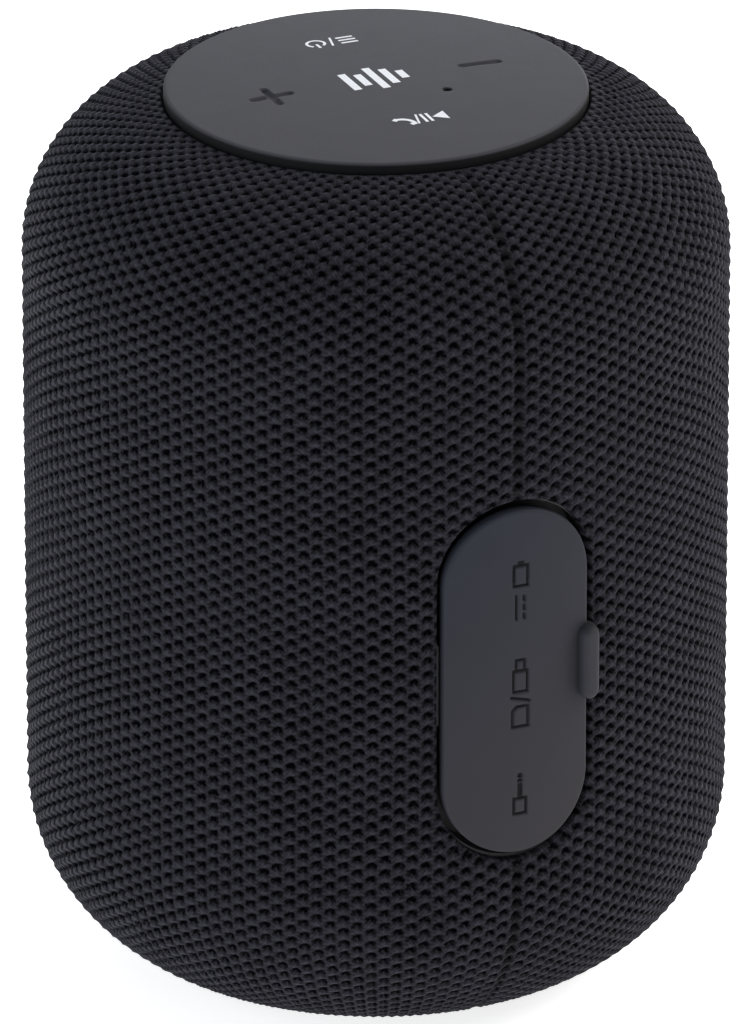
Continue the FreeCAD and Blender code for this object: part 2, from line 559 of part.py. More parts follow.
# Parts on the main board, in the space behind the sockets.
CHIP_ROW = f"({TRAY_BACK} + board_depth - chip_setback)"
keep(block((f"{BOARD_FACE} - chip_height", BOARD_FACE),
           (f"{CHIP_ROW} - chip_side / 2", f"{CHIP_ROW} + chip_side / 2"),
           (f"{POWER_HEIGHT} - chip_side / 2", f"{POWER_HEIGHT} + chip_side / 2")), "radio_chip")
keep(block((f"{BOARD_FACE} - chip_height", BOARD_FACE),
           (f"{CHIP_ROW} - amplifier_side / 2", f"{CHIP_ROW} + amplifier_side / 2"),
           ("port_centre_height - amplifier_side / 2", "port_centre_height + amplifier_side / 2")),
     "amplifier_chip")
capacitors = doc.addObject("Part::Compound", "capacitor_group")
capacitors.Links = [
    rod("capacitor_radius", "capacitor_length", f"{BOARD_FACE} - capacitor_length", CHIP_ROW, height, ALONG_X)
    for height in (JACK_HEIGHT, f"{JACK_HEIGHT} - capacitor_radius * 5 / 2")
]
keep(capacitors, "capacitors")
connectors = doc.addObject("Part::Compound", "connector_group")
connectors.Links = [
    block((BOARD_REAR, f"{BOARD_REAR} + connector_height"),
          (f"{CHIP_ROW} - connector_depth / 2", f"{CHIP_ROW} + connector_depth / 2"),
          (f"{height} - connector_length / 2", f"{height} + connector_length / 2"))
    for height in (POWER_HEIGHT, "port_centre_height", JACK_HEIGHT)
]
keep(connectors, "lead_connectors")

# The silicone cover: a plate curved like the casing, a locating rib behind it, and a finger ridge on its free edge.
COVER_FACE = f"({BODY} + cover_proud)"
COVER_BACK = f"({COVER_FACE} - cover_thickness)"
RIB_HALF_WIDTH = f"({COVER_HALF_WIDTH} - rib_inset)"
RIB_HALF_LENGTH = f"({COVER_HALF_LENGTH} - rib_inset)"
cover_reach = (f"-({BODY} + tab_rise * 2)", TRAY_FRONT)
plate = common(stadium(COVER_HALF_WIDTH, COVER_HALF_LENGTH, *cover_reach),
               cut(rod(COVER_FACE, "body_height"), rod(COVER_BACK, "body_height")))
rib_walls = cut(stadium(RIB_HALF_WIDTH, RIB_HALF_LENGTH, *cover_reach),
                stadium(f"{RIB_HALF_WIDTH} - rib_wall", f"{RIB_HALF_LENGTH} - rib_wall", *cover_reach))
rib = common(rib_walls, cut(rod(COVER_BACK, "body_height"), rod(f"{COVER_BACK} - rib_depth", "body_height")))
tab_half = "(tab_width / 2)"
tab_low = f"(tab_centre_height - tab_length / 2 + {tab_half})"
tab_high = f"(tab_centre_height + tab_length / 2 - {tab_half})"
tab_slot = fuse(block((f"{COVER_HALF_WIDTH} - {tab_half}", f"{COVER_HALF_WIDTH} + {tab_half}"), cover_reach,
                      (tab_low, tab_high)),
                *[rod(tab_half, f"{cover_reach[1]} - {cover_reach[0]}", COVER_HALF_WIDTH, cover_reach[0], z,
                      ALONG_Y) for z in (tab_low, tab_high)])
ridge = common(tab_slot, cut(rod(f"{BODY} + tab_lift + tab_rise", "body_height"),
                             rod(f"{BODY} + tab_lift", "body_height")))
ridge_root = common(tab_slot, stadium(COVER_HALF_WIDTH, COVER_HALF_LENGTH, *cover_reach),
                    cut(rod(f"{BODY} + tab_lift + tab_rise", "body_height"), rod(COVER_BACK, "body_height")))
keep(fuse(plate, rib, ridge, ridge_root), "port_cover")

# The cover's strap bends at the hinge edge; its root is held in the tray.
strap_x = (f"-({COVER_HALF_WIDTH} + tether_thickness - fit_gap)", f"-({COVER_HALF_WIDTH} - fit_gap)")
strap_z = ("port_centre_height - tether_length / 2", "port_centre_height + tether_length / 2")
ANCHOR_TOP = f"({TRAY_FRONT} - anchor_depth)"
keep(common(block(strap_x, (f"-{BODY}", ANCHOR_TOP), strap_z), rod(COVER_BACK, "body_height")), "cover_strap")
keep(block((f"-{OPENING_HALF_WIDTH}", f"-({COVER_HALF_WIDTH} - rib_inset)"), (ANCHOR_TOP, TRAY_FRONT), strap_z),
     "strap_anchor")


# --- driver -----------------------------------------------------------------------------------------------------

def driver_piece(name, corners):
    """A turned piece of the driver; its heights are depths behind the baffle."""
    return revolved(name, corners, "0", BAFFLE_BACK, "driver_centre_height", TOWARDS_PORTS)


def ring(inner, outer, front, back):
    return [(inner, front), (outer, front), (outer, back), (inner, back)]


cavity = revolved("cavity", [
    ("0", FLOOR_TOP), (FLOOR_EDGE, FLOOR_TOP, f"base_curve_radius - {INNER}", -1),
    (INSIDE, "base_curve_radius"), (INSIDE, "split_height"), ("0", "split_height"),
])
ear_holes = []
ears = []
ear_cuts = []
ear_places = []
EAR_BACK = f"({BAFFLE_BACK} - gasket_thickness - flange_thickness)"
for x_side in ("-", ""):
    for z_side in ("-", "+"):
        x = f"{x_side}ear_spacing / 2"
        z = f"driver_centre_height {z_side} ear_spacing / 2"
        ear_holes.append(rod("small_radius", "baffle_thickness / 2", x, BAFFLE_BACK, z, ALONG_Y))
        ears.append(rod("ear_radius", "flange_thickness", x, EAR_BACK, z, ALONG_Y))
        ear_cuts.append(rod("small_radius + fit_gap", "flange_thickness", x, EAR_BACK, z, ALONG_Y))
        ear_places.append([value(e) for e in (x, EAR_BACK, z)])
baffle_bore = rod("baffle_opening_radius", "baffle_thickness", "0", BAFFLE_BACK, "driver_centre_height", ALONG_Y)
keep(cut(common(cavity, block((f"-{BODY}", BODY), (BAFFLE_BACK, "baffle_position"), ("0", "split_height"))),
         baffle_bore, *ear_holes), "driver_baffle")
keep(driver_piece("driver_gasket", ring("baffle_opening_radius", "driver_radius", "0", "gasket_thickness")),
     "driver_gasket")

FLANGE_BACK = "(gasket_thickness + flange_thickness)"
ROLL_EDGE = "(roll_outer_radius - land_width)"
BASKET_END = "(gasket_thickness + basket_depth)"
LEDGE = "(spider_depth + spider_thickness)"
NECK = "(spider_outer_radius + spider_ledge)"
PLATE_BORE = "(coil_radius + winding_thickness + coil_gap)"
basket_form = driver_piece("basket_form", [
    (ROLL_EDGE, "gasket_thickness"), ("driver_radius", "gasket_thickness"), ("driver_radius", FLANGE_BACK),
    ("baffle_opening_radius + basket_wall", FLANGE_BACK), (NECK, LEDGE), (NECK, BASKET_END),
    ("magnet_bore_radius", BASKET_END), ("magnet_bore_radius", f"{BASKET_END} - basket_wall"),
    (f"{NECK} - basket_wall", f"{BASKET_END} - basket_wall"), (f"{NECK} - basket_wall", f"{LEDGE} + basket_wall"),
    ("spider_outer_radius - spider_ledge", f"{LEDGE} + basket_wall"),
    ("spider_outer_radius - spider_ledge", LEDGE), (f"{NECK} - basket_wall", LEDGE),
    ("baffle_opening_radius - basket_wall / 2", FLANGE_BACK), (ROLL_EDGE, FLANGE_BACK),
])
window_y = (f"{BAFFLE_BACK} - window_end", f"{BAFFLE_BACK} - window_start")
windows = [
    block(("-driver_radius", "driver_radius"), window_y,
          ("driver_centre_height - window_width / 2", "driver_centre_height + window_width / 2")),
    block(("-window_width / 2", "window_width / 2"), window_y,
          ("driver_centre_height - driver_radius", "driver_centre_height + driver_radius")),
]
keep(cut(fuse(basket_form, *ears), *windows, *ear_cuts), "driver_basket")
screws("driver_screws", ear_places, (0, 1, 0), "small_radius", "small_head_radius", "small_head_height",
       "small_length")

ROLL_FRONT = "(gasket_thickness - roll_thickness)"
ROLL_RADIUS = f"(({ROLL_EDGE} - roll_inner_radius) / 2 + roll_slack)"
keep(driver_piece("driver_surround", [
    ("roll_inner_radius - land_width", ROLL_FRONT), ("roll_inner_radius", ROLL_FRONT, ROLL_RADIUS, -1),
    (ROLL_EDGE, ROLL_FRONT), ("roll_outer_radius", ROLL_FRONT), ("roll_outer_radius", "gasket_thickness"),
    (f"{ROLL_EDGE} - roll_thickness", "gasket_thickness", f"{ROLL_RADIUS} - roll_thickness", 1),
    ("roll_inner_radius + roll_thickness", "gasket_thickness"),
    ("roll_inner_radius - land_width", "gasket_thickness"),
]), "driver_surround")
CONE_NECK = "(gasket_thickness + cone_depth)"
keep(driver_piece("driver_cone", [
    ("roll_inner_radius - fit_gap", "gasket_thickness"),
    ("roll_inner_radius - fit_gap", "gasket_thickness + cone_thickness"),
    ("roll_inner_radius - land_width", "gasket_thickness + cone_thickness"),
    ("coil_radius", f"{CONE_NECK} + cone_thickness"), ("coil_radius", CONE_NECK),
    ("roll_inner_radius - land_width", "gasket_thickness"),
]), "driver_cone")
CAP_EDGE = f"({CONE_NECK} - cone_thickness)"
CAP_INNER = "(coil_radius - cone_thickness)"
keep(driver_piece("driver_dust_cap", [
    ("0", f"{CAP_EDGE} - cap_rise", dome_radius("coil_radius", "cap_rise"), -1), ("coil_radius", CAP_EDGE),
    (CAP_INNER, CAP_EDGE, dome_radius(CAP_INNER, "cap_rise - cone_thickness"), 1),
    ("0", f"{CAP_EDGE} - cap_rise + cone_thickness"),
]), "driver_dust_cap")
GAP_MIDDLE = f"({BASKET_END} + top_plate_thickness / 2)"
WINDING = "(coil_radius + winding_thickness)"
keep(driver_piece("voice_coil", [
    ("coil_radius - former_wall", CAP_EDGE), ("coil_radius", CAP_EDGE),
    ("coil_radius", f"{GAP_MIDDLE} - winding_length / 2"), (WINDING, f"{GAP_MIDDLE} - winding_length / 2"),
    (WINDING, f"{GAP_MIDDLE} + winding_length / 2"), ("coil_radius", f"{GAP_MIDDLE} + winding_length / 2"),
    ("coil_radius", f"{CAP_EDGE} + former_length"), ("coil_radius - former_wall", f"{CAP_EDGE} + former_length"),
]), "voice_coil")
spider_front = [("coil_radius + spider_gap", "spider_depth")]
spider_back = [("coil_radius + spider_gap", LEDGE)]
for wave in range(1, 6):
    across = f"coil_radius + (spider_outer_radius - coil_radius) * {wave} / 6"
    rise = "spider_wave" if wave % 2 else "0"
    spider_front.append((across, f"spider_depth - {rise}"))
    spider_back.append((across, f"{LEDGE} - {rise}"))
spider_front.append(("spider_outer_radius", "spider_depth"))
spider_back.append(("spider_outer_radius", LEDGE))
keep(driver_piece("driver_spider", spider_front + spider_back[::-1]), "driver_spider")
PLATE_BACK = f"({BASKET_END} + top_plate_thickness)"
MAGNET_BACK = f"({PLATE_BACK} + magnet_thickness)"
keep(driver_piece("driver_top_plate", ring(PLATE_BORE, "plate_radius", BASKET_END, PLATE_BACK)),
     "driver_top_plate")
keep(driver_piece("driver_magnet", ring("magnet_bore_radius", "magnet_radius", PLATE_BACK, MAGNET_BACK)),
     "driver_magnet")
POLE = "(coil_radius - former_wall - coil_gap)"
keep(driver_piece("driver_yoke", [
    ("0", BASKET_END), (POLE, BASKET_END), (POLE, MAGNET_BACK), ("plate_radius", MAGNET_BACK),
    ("plate_radius", f"{MAGNET_BACK} + yoke_thickness"), ("0", f"{MAGNET_BACK} + yoke_thickness"),
]), "driver_yoke")


# --- battery ----------------------------------------------------------------------------------------------------

CELL = ("-cell_position_x", "-cell_position_y")
keep(rod("cell_radius", "cell_length", *CELL, "cell_bottom"), "battery_cell")
CRADLE = "(cell_radius + trough_wall)"
cradle_opening = block((CELL[0], f"{CELL[0]} + {CRADLE}"), (CELL[1], f"{CELL[1]} + {CRADLE}"),
                       ("cell_bottom + trough_length / 5", "cell_bottom + trough_length"))
keep(cut(common(cavity, rod(CRADLE, f"cell_bottom + trough_length - {FLOOR_TOP}", *CELL, FLOOR_TOP)),
         rod("cell_radius", "cell_length", *CELL, "cell_bottom"), cradle_opening), "battery_cradle")


# --- write each sub-part ----------------------------------------------------------------------------------------

doc.recompute()
failed = [o.Label for o in doc.Objects if {"Invalid", "Error"} & set(o.State)]
failed += [o.Label for o in subparts if o.Shape.isNull() or not o.Shape.isValid() or not o.Shape.Solids]
if failed:
    raise RuntimeError("these did not build: " + ", ".join(failed))
os.makedirs("parts", exist_ok=True)
for subpart in subparts:
    subpart.Shape.exportStep(f"parts/{subpart.Label}.step")
    print(subpart.Label, len(subpart.Shape.Solids), round(subpart.Shape.Volume, 1))
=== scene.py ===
"""A portable bluetooth speaker, dressed in its knitted sleeve, silicone keypad and port cover."""
import json
import math

import bmesh
import bpy
import numpy as np
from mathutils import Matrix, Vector


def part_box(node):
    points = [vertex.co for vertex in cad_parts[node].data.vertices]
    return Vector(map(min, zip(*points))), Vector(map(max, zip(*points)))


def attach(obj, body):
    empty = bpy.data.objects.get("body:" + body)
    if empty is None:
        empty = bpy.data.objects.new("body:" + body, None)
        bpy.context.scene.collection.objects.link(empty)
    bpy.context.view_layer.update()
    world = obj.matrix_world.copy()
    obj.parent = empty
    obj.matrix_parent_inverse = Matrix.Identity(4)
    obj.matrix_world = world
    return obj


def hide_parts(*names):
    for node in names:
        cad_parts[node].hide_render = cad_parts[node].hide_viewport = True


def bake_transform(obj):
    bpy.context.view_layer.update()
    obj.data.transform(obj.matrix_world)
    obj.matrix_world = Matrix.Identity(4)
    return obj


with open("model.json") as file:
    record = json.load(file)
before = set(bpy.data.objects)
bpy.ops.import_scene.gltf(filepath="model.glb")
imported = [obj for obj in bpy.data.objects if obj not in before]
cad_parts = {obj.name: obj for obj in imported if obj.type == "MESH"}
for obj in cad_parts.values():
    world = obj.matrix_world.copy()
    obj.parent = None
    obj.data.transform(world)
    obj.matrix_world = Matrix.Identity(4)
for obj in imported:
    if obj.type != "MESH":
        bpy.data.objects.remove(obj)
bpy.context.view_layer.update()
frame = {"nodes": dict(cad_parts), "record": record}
MM = 0.001

# --- Standing place -----------------------------------------------------------------------------------
# The speaker stands upright on a plain white table, seen from a little above with a long lens. A soft
# panel lights it from the upper right, a weaker one fills from the left, one lies overhead, one behind.

table_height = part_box("rubber_foot")[0].z
sleeve_low, sleeve_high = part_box("fabric_sleeve")
pad_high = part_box("keypad_skin")[1]
BODY_RADIUS = (sleeve_high.x - sleeve_low.x) / 2
BODY_TOP = pad_high.z
BODY_MIDDLE = Vector((0, 0, BODY_TOP / 2))
VIEW_TURN = math.radians(-23.5)
VIEW_RISE = math.radians(23.3)
VIEW_DISTANCE = 40 * BODY_RADIUS
RADIUS_SHARE = 0.34248
SENSOR_WIDTH = 36
LENS_SHIFT = -0.0021
TABLE_HALF_SIDE = 8


def camera_at(target, turn, rise, distance):
    """A camera that looks at target from a turn about Z and a rise above the table, in radians. Its lens
    makes the speaker's radius a set share of the picture."""
    back = Vector((math.sin(turn) * math.cos(rise), -math.cos(turn) * math.cos(rise), math.sin(rise)))
    data = bpy.data.cameras.new("camera")
    camera = bpy.data.objects.new("camera", data)
    camera.location = target + back * distance
    camera.rotation_euler = back.to_track_quat("Z", "Y").to_euler()
    bpy.context.scene.collection.objects.link(camera)
    data.sensor_width = SENSOR_WIDTH
    data.lens = RADIUS_SHARE / BODY_RADIUS * distance * SENSOR_WIDTH
    data.shift_y = LENS_SHIFT
    data.clip_end = 20
    return camera


bpy.context.scene.camera = camera_at(BODY_MIDDLE, VIEW_TURN, VIEW_RISE, VIEW_DISTANCE)


def panel_light(name, place, size, power, colour):
    """A square soft light at a place, facing the middle of the speaker."""
    data = bpy.data.lights.new(name, "AREA")
    data.size = size
    data.energy = power
    data.color = colour
    light = bpy.data.objects.new(name, data)
    light.location = place
    aim = Vector(place) - BODY_MIDDLE
    light.rotation_euler = aim.to_track_quat("Z", "Y").to_euler()
    bpy.context.scene.collection.objects.link(light)


def new_material(name):
    """A new material with a plain Principled shader: the material, its node tree and its shader."""
    material = bpy.data.materials.new(name)
    material.use_nodes = True
    tree = material.node_tree
    shader = tree.nodes["Principled BSDF"]
    return material, tree, shader


def link(tree, source, target):
    """Joins an output to an input."""
    tree.links.new(source, target)


def mesh_object(name, points, faces, smooth=True):
    """An object at the origin from an array of points in metres and an array of quads or triangles."""
    mesh = bpy.data.meshes.new(name)
    mesh.from_pydata(points.tolist(), [], [list(face) for face in faces])
    mesh.validate()
    mesh.polygons.foreach_set("use_smooth", np.full(len(mesh.polygons), smooth))
    mesh.update()
    made = bpy.data.objects.new(name, mesh)
    bpy.context.scene.collection.objects.link(made)
    return made


def grid_faces(rows, columns, closed=False):
    """Quads of a grid of points, numbered row by row; closed joins the last column to the first."""
    i = np.arange(rows - 1)[:, None]
    j = np.arange(columns if closed else columns - 1)[None, :]
    k = (j + 1) % columns
    quads = np.stack(np.broadcast_arrays(i * columns + j, i * columns + k, (i + 1) * columns + k,
                                         (i + 1) * columns + j), axis=-1)
    return quads.reshape(-1, 4)


bpy.context.scene.view_settings.view_transform = "Standard"
panel_light("key_light", (0.95, -0.30, 0.80), 0.6, 9, (1.0, 0.97, 0.95))
panel_light("fill_light", (-1.0, -0.25, 0.45), 0.7, 4, (0.78, 0.88, 1.0))
panel_light("top_light", (-0.1, 0.45, 1.1), 0.8, 5, (0.95, 0.97, 1.0))
panel_light("back_light", (0.6, 0.9, 0.4), 0.8, 4, (0.90, 0.94, 1.0))

world = bpy.data.worlds.new("studio")
world.use_nodes = True
world.node_tree.nodes["Background"].inputs["Color"].default_value = (1, 1, 1, 1)
world.node_tree.nodes["Background"].inputs["Strength"].default_value = 0.30
bpy.context.scene.world = world

table_material, _, table_shader = new_material("white_table")
table_shader.inputs["Base Color"].default_value = (0.9, 0.9, 0.9, 1)
table_shader.inputs["Roughness"].default_value = 0.8
table_shader.inputs["Emission Color"].default_value = (1, 1, 1, 1)
table_shader.inputs["Emission Strength"].default_value = 0.8
table_corners = [(x, y, table_height) for y in (-TABLE_HALF_SIDE, TABLE_HALF_SIDE)
                 for x in (-TABLE_HALF_SIDE, TABLE_HALF_SIDE)]
table = mesh_object("table", np.array(table_corners), grid_faces(2, 2), smooth=False)
table.data.materials.append(table_material)


# --- Knitted sleeve -----------------------------------------------------------------------------------
# One tube of coarse polyester mesh knit, closed by a single upright seam over the ports. It is pulled
# over the casing and drawn in under the keypad and the base. Its cut edge at the port cover turns in.

SHOULDER_RADIUS = 18.5 * MM
BASE_CURVE_RADIUS = 22.4 * MM
BASE_OPENING = 25 * MM
HEM_RADIUS = pad_high.x + 0.3 * MM
HEM_TOP = pad_high.z - 2.1 * MM
TUCK = 1.3 * MM
WALES, COURSES = 164, 70
SAMPLES_PER_WALE, SAMPLES_PER_COURSE = 2, 4
TUFT_RISE, HOLE_DEPTH = 0.18 * MM, 0.55 * MM
CHEVRON = 0.38
SEAM_DEPTH, SEAM_HALF_WIDTH = 0.40 * MM, 0.60 * MM
EDGE_SINK, EDGE_WIDTH = 0.35 * MM, 1.5 * MM
CALM_WIDTH = 1.2 * MM
BASE_LIP = 0.3 * MM
tray_low, tray_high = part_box("port_tray")
TRAY_RIM = 1.5 * MM
OPENING_HALF_WIDTH = tray_high.x - TRAY_RIM
OPENING_HALF_LENGTH = (tray_high.z - tray_low.z) / 2 - TRAY_RIM
OPENING_HEIGHT = (tray_high.z + tray_low.z) / 2


def arc_points(centre, radius, start, end, count):
    """Points of an arc: the centre plus the radius times the cosine and sine of evenly spaced angles."""
    angle = np.radians(np.linspace(start, end, count))
    return np.stack([centre[0] + radius * np.cos(angle), centre[1] + radius * np.sin(angle)], axis=1)


def sleeve_profile():
    """The sleeve's outline (r, z): the arc of the base, the straight side and the arc of the shoulder."""
    base_axis = BODY_RADIUS - BASE_CURVE_RADIUS
    shoulder_axis = BODY_RADIUS - SHOULDER_RADIUS
    base_end = -math.degrees(math.acos((BASE_OPENING - base_axis) / BASE_CURVE_RADIUS))
    shoulder_end = math.degrees(math.acos((HEM_RADIUS - shoulder_axis) / SHOULDER_RADIUS))
    side_top = HEM_TOP - SHOULDER_RADIUS * math.sin(math.radians(shoulder_end))
    base = arc_points((base_axis, BASE_CURVE_RADIUS), BASE_CURVE_RADIUS, base_end, 0, 60)
    top = arc_points((shoulder_axis, side_top), SHOULDER_RADIUS, 0, shoulder_end, 60)
    return np.concatenate([base, top])


def resampled(path, count):
    """Points at even steps of arc length along a path of straight pieces, and their arc lengths."""
    steps = np.concatenate([[0], np.cumsum(np.linalg.norm(np.diff(path, axis=0), axis=1))])
    even = np.linspace(0, steps[-1], count)
    return np.stack([np.interp(even, steps, path[:, i]) for i in range(path.shape[1])], axis=1), even


def slot_distance(x, z, half_width, half_length):
    """Signed distance to a slot-ended outline: the distance to its middle line, less its half width."""
    beyond = np.maximum(np.abs(z) - (half_length - half_width), 0)
    return np.hypot(x, beyond) - half_width


def smooth(t):
    """Zero below 0, one above 1, and three t squared less two t cubed between."""
    t = np.clip(t, 0, 1)
    return t * t * (3 - 2 * t)


def knit_height(u, v):
    """Height of the knit at wale u and course v: the product of two cosines, which makes holes and tufts
    in a chequer. The tufts' sides are drawn down like a chevron, and holes go deeper than tufts rise."""
    slump = CHEVRON * np.abs(u - np.round(u))
    chequer = np.cos(np.pi * u) * np.cos(2 * np.pi * (v + slump))
    return np.where(chequer < 0, -chequer * TUFT_RISE, -HOLE_DEPTH * np.abs(chequer) ** 1.4)


def knitted_sleeve():
    """The tube as a grid: its outline turned about Z, moved along the outline's normal by the knit's
    height. Cells inside the port opening are left out, the cells beside them end on the slot's outline,
    and a lip turns in along every free edge."""
    rows, columns = COURSES * SAMPLES_PER_COURSE + 1, WALES * SAMPLES_PER_WALE
    path, _ = resampled(sleeve_profile(), rows)
    tangent = np.gradient(path, axis=0)
    normal = np.stack([tangent[:, 1], -tangent[:, 0]], axis=1)
    normal /= np.linalg.norm(normal, axis=1, keepdims=True)
    j = np.arange(columns)[None, :]
    i = np.arange(rows)[:, None]
    turn = 2 * np.pi * j / columns
    u = j / SAMPLES_PER_WALE + 0.10 * np.sin(i * 0.043 + 2.1 * np.sin(turn)) + 0 * i
    v = i / SAMPLES_PER_COURSE + 0.16 * np.sin(3 * turn + 0.02 * i) + 0.07 * np.sin(11 * turn - 0.05 * i)
    radius = path[:, 0][:, None] + 0 * turn
    height = path[:, 1][:, None] + 0 * turn
    across = BODY_RADIUS * np.sin(turn) + 0 * i
    facing = np.cos(turn) + 0 * i > 0
    gap = np.where(facing, slot_distance(across, height - OPENING_HEIGHT, OPENING_HALF_WIDTH,
                                         OPENING_HALF_LENGTH), 1.0)
    calm = smooth(gap / CALM_WIDTH) * smooth(i / 6) * smooth((rows - 1 - i) / 5)
    rise = knit_height(u, v) * calm
    seam = BODY_RADIUS * np.abs(np.angle(np.exp(1j * turn)))
    rise = rise - SEAM_DEPTH * np.exp(-(seam / SEAM_HALF_WIDTH) ** 2) * calm
    rise = rise - EDGE_SINK * (1 - smooth(gap / EDGE_WIDTH))
    # the row of points nearest to the opening is drawn onto its outline
    quads = grid_faces(rows, columns, closed=True)
    kept = gap.ravel()[quads].mean(axis=1) > 0
    inside = np.zeros(rows * columns, bool)
    inside[quads[~kept].ravel()] = True
    edge = inside & np.isin(np.arange(rows * columns), quads[kept])
    beyond = np.sign(height - OPENING_HEIGHT) * np.maximum(
        np.abs(height - OPENING_HEIGHT) - (OPENING_HALF_LENGTH - OPENING_HALF_WIDTH), 0)
    reach = np.hypot(across, beyond) + 1e-12
    pull = np.where(edge.reshape(rows, columns), gap, 0)
    across = across - pull * across / reach
    height = height - pull * beyond / reach
    turn = np.where(edge.reshape(rows, columns), np.arcsin(np.clip(across / BODY_RADIUS, -1, 1)), turn)
    radius = radius + rise * normal[:, 0][:, None]
    height = height + rise * normal[:, 1][:, None]
    points = np.stack([radius * np.sin(turn), -radius * np.cos(turn), height], axis=-1).reshape(-1, 3)
    quads = quads[kept]
    # the free edges at the opening, the keypad and the base each get a lip that turns in towards the casing
    sides = np.concatenate([quads[:, [a, (a + 1) % 4]] for a in range(4)])
    known = set(map(tuple, sides.tolist()))
    rim = np.array([s for s in map(tuple, sides.tolist()) if s[::-1] not in known])
    ends = np.unique(rim)
    new = np.full(len(points), -1)
    new[ends] = len(points) + np.arange(len(ends))
    lip = points[ends].copy()
    at_top = ends >= (rows - 1) * columns
    at_base = ends < columns
    at_port = ~(at_top | at_base)
    shrink = np.where(at_port, 1 - TUCK / BODY_RADIUS, 1 - BASE_LIP / BASE_OPENING)
    lip[:, :2] *= shrink[:, None]
    lip[:, 2] += np.where(at_top, -TUCK, np.where(at_base, TUCK, 0))
    fold = np.stack([rim[:, 1], rim[:, 0], new[rim[:, 0]], new[rim[:, 1]]], axis=1)
    made = mesh_object("knitted_sleeve", np.concatenate([points, lip]), np.concatenate([quads, fold]))
    mesh = made.data
    # the knit's own coordinates, in wales and courses, run on past the closing seam
    corner_u = np.concatenate([u.ravel(), u.ravel()[ends]])
    corner_v = np.concatenate([v.ravel(), v.ravel()[ends]])
    vertex = np.zeros(len(mesh.loops), int)
    mesh.loops.foreach_get("vertex_index", vertex)
    uv = np.stack([corner_u[vertex], corner_v[vertex]], axis=1)
    starts = np.array([face.loop_start for face in mesh.polygons])
    first = np.repeat(starts, [face.loop_total for face in mesh.polygons])
    wrapped = uv[first, 0] - uv[:, 0] > WALES / 2
    uv[wrapped, 0] += WALES
    wrapped = uv[:, 0] - uv[first, 0] > WALES / 2
    uv[wrapped, 0] -= WALES
    layer = mesh.uv_layers.new(name="knit")
    layer.data.foreach_set("uv", uv.astype(np.float32).ravel())
    return made


